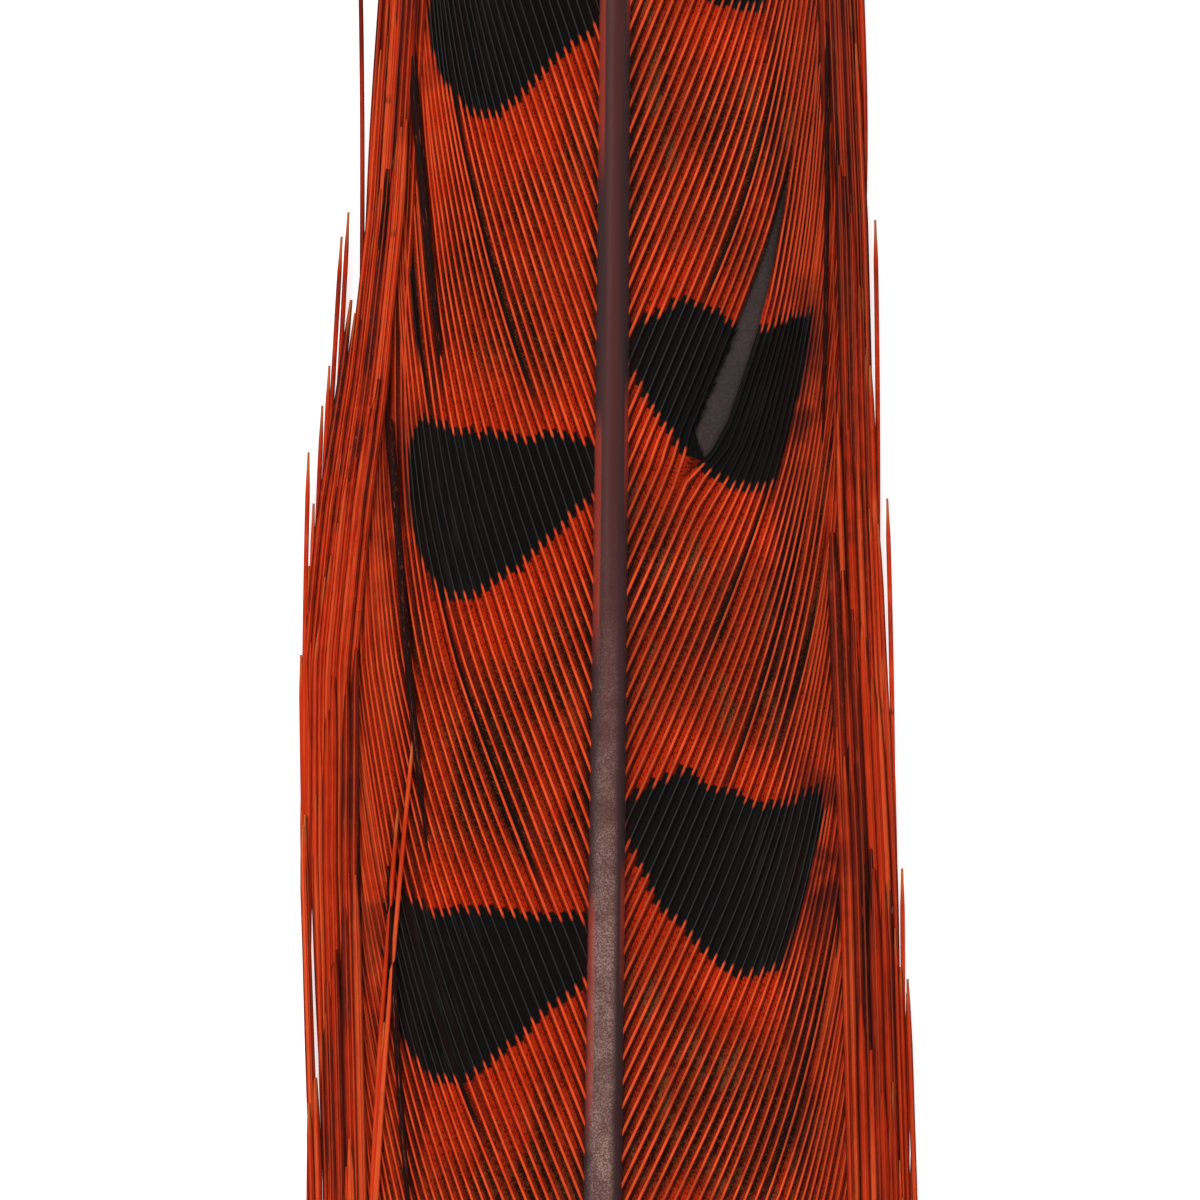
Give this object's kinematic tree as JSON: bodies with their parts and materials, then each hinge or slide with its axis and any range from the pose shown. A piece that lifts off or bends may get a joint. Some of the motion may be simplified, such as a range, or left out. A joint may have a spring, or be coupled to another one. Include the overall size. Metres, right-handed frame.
{
  "type": "pheasant tail feather",
  "caption": "Long tail feather of a pheasant lying flat: tapering shaft, barred vanes with loose outer fringes, downy base and bare quill.",
  "frame": {"origin": "on the flat underside of the shaft, half way along the feather, under the shaft's middle line", "axes": "+Y along the shaft towards the tip, +Z out of the upper side of the feather, +X towards its right vane"},
  "size_m": [0.0288, 0.3998, 0.003],
  "materials": {
    "shaft_keratin": "dark brown keratin, smooth with a soft mealy sheen",
    "dyed_vane": "dyed orange-red barbs with black bars, fine combed sheen",
    "pale_down": "soft loose down, matt"
  },
  "bodies": {
    "root": {"shaft": "shaft_keratin", "left_vane": "dyed_vane", "right_vane": "dyed_vane", "left_down": "pale_down", "right_down": "pale_down"}
  },
  "joints": []
}
